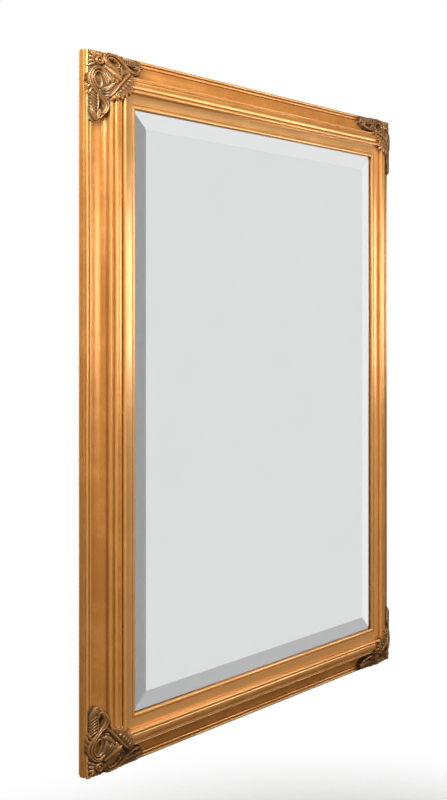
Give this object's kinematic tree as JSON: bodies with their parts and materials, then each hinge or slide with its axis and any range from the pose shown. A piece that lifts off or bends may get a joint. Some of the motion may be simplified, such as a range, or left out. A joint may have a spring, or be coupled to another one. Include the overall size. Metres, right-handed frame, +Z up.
{
  "type": "framed wall mirror",
  "caption": "Tall bevelled wall mirror in a mitred antique-gilt moulding with a plain inner slip, leafy corner ornaments, turn-button backing and strap hangers.",
  "frame": {"origin": "on the wall plane, midway between the points where the two wall hooks bear on the hanger rings", "axes": "+X to the viewer's right, +Y into the wall, +Z up; the glass faces -Y"},
  "size_m": [0.936, 0.065, 1.276],
  "materials": {
    "gilt_moulding": "satin antique gilt over a red-brown ground",
    "gilt_slip": "satin gilt",
    "gilt_ornament": "cast composition, gilt with umber rubbed into the hollows",
    "clear_glass": "polished",
    "silvering": "silvered, grey paint on the back",
    "packer_rubber": "matt",
    "hardboard": "matt brown board",
    "zinc_steel": "zinc plated",
    "nickel_wire": "nickel plated",
    "pad_rubber": "matt"
  },
  "bodies": {
    "frame": {"rail_bottom": "gilt_moulding", "stile_right": "gilt_moulding", "rail_top": "gilt_moulding", "stile_left": "gilt_moulding", "slip_bottom": "gilt_slip", "slip_right": "gilt_slip", "slip_top": "gilt_slip", "slip_left": "gilt_slip", "ornament_bottom_left": "gilt_ornament", "ornament_bottom_right": "gilt_ornament", "ornament_top_right": "gilt_ornament", "ornament_top_left": "gilt_ornament", "glass": "clear_glass", "silvering": "silvering", "glass_packers": "packer_rubber", "backing_board": "hardboard", "slip_screws": "zinc_steel", "turn_button_screws": "zinc_steel", "corner_plates": "zinc_steel", "corner_plate_screws": "zinc_steel", "mitre_keys": "zinc_steel", "strap_left": "zinc_steel", "strap_right": "zinc_steel", "strap_screws": "zinc_steel", "wall_pads": "pad_rubber"},
    "ring_left": {"ring_left": "nickel_wire"},
    "ring_right": {"ring_right": "nickel_wire"},
    "turn_button_bottom_1": {"turn_button_bottom_1": "zinc_steel"},
    "turn_button_bottom_2": {"turn_button_bottom_2": "zinc_steel"},
    "turn_button_right_1": {"turn_button_right_1": "zinc_steel"},
    "turn_button_right_2": {"turn_button_right_2": "zinc_steel"},
    "turn_button_top_1": {"turn_button_top_1": "zinc_steel"},
    "turn_button_top_2": {"turn_button_top_2": "zinc_steel"},
    "turn_button_left_1": {"turn_button_left_1": "zinc_steel"},
    "turn_button_left_2": {"turn_button_left_2": "zinc_steel"}
  },
  "joints": [
    {"name": "ring_left_swing", "type": "hinge", "parent": "frame", "child": "ring_left", "pos_m": [-0.4365, -0.00325, -0.0135], "axis": [-1, 0, 0], "range_deg": [-3, 170]},
    {"name": "ring_right_swing", "type": "hinge", "parent": "frame", "child": "ring_right", "pos_m": [0.4365, -0.00325, -0.0135], "axis": [-1, 0, 0], "range_deg": [-3, 170]},
    {"name": "turn_button_bottom_1_turn", "type": "hinge", "parent": "frame", "child": "turn_button_bottom_1", "pos_m": [-0.1845, -0.03795, -0.9465], "axis": [0, 1, 0], "range_deg": [-90, 90]},
    {"name": "turn_button_bottom_2_turn", "type": "hinge", "parent": "frame", "child": "turn_button_bottom_2", "pos_m": [0.1845, -0.03795, -0.9465], "axis": [0, 1, 0], "range_deg": [-90, 90]},
    {"name": "turn_button_right_1_turn", "type": "hinge", "parent": "frame", "child": "turn_button_right_1", "pos_m": [0.3915, -0.03795, -0.7395], "axis": [0, 1, 0], "range_deg": [-90, 90]},
    {"name": "turn_button_right_2_turn", "type": "hinge", "parent": "frame", "child": "turn_button_right_2", "pos_m": [0.3915, -0.03795, -0.0305], "axis": [0, 1, 0], "range_deg": [-90, 90]},
    {"name": "turn_button_top_1_turn", "type": "hinge", "parent": "frame", "child": "turn_button_top_1", "pos_m": [0.1845, -0.03795, 0.1765], "axis": [0, 1, 0], "range_deg": [-90, 90]},
    {"name": "turn_button_top_2_turn", "type": "hinge", "parent": "frame", "child": "turn_button_top_2", "pos_m": [-0.1845, -0.03795, 0.1765], "axis": [0, 1, 0], "range_deg": [-90, 90]},
    {"name": "turn_button_left_1_turn", "type": "hinge", "parent": "frame", "child": "turn_button_left_1", "pos_m": [-0.3915, -0.03795, -0.0305], "axis": [0, 1, 0], "range_deg": [-90, 90]},
    {"name": "turn_button_left_2_turn", "type": "hinge", "parent": "frame", "child": "turn_button_left_2", "pos_m": [-0.3915, -0.03795, -0.7395], "axis": [0, 1, 0], "range_deg": [-90, 90]}
  ]
}
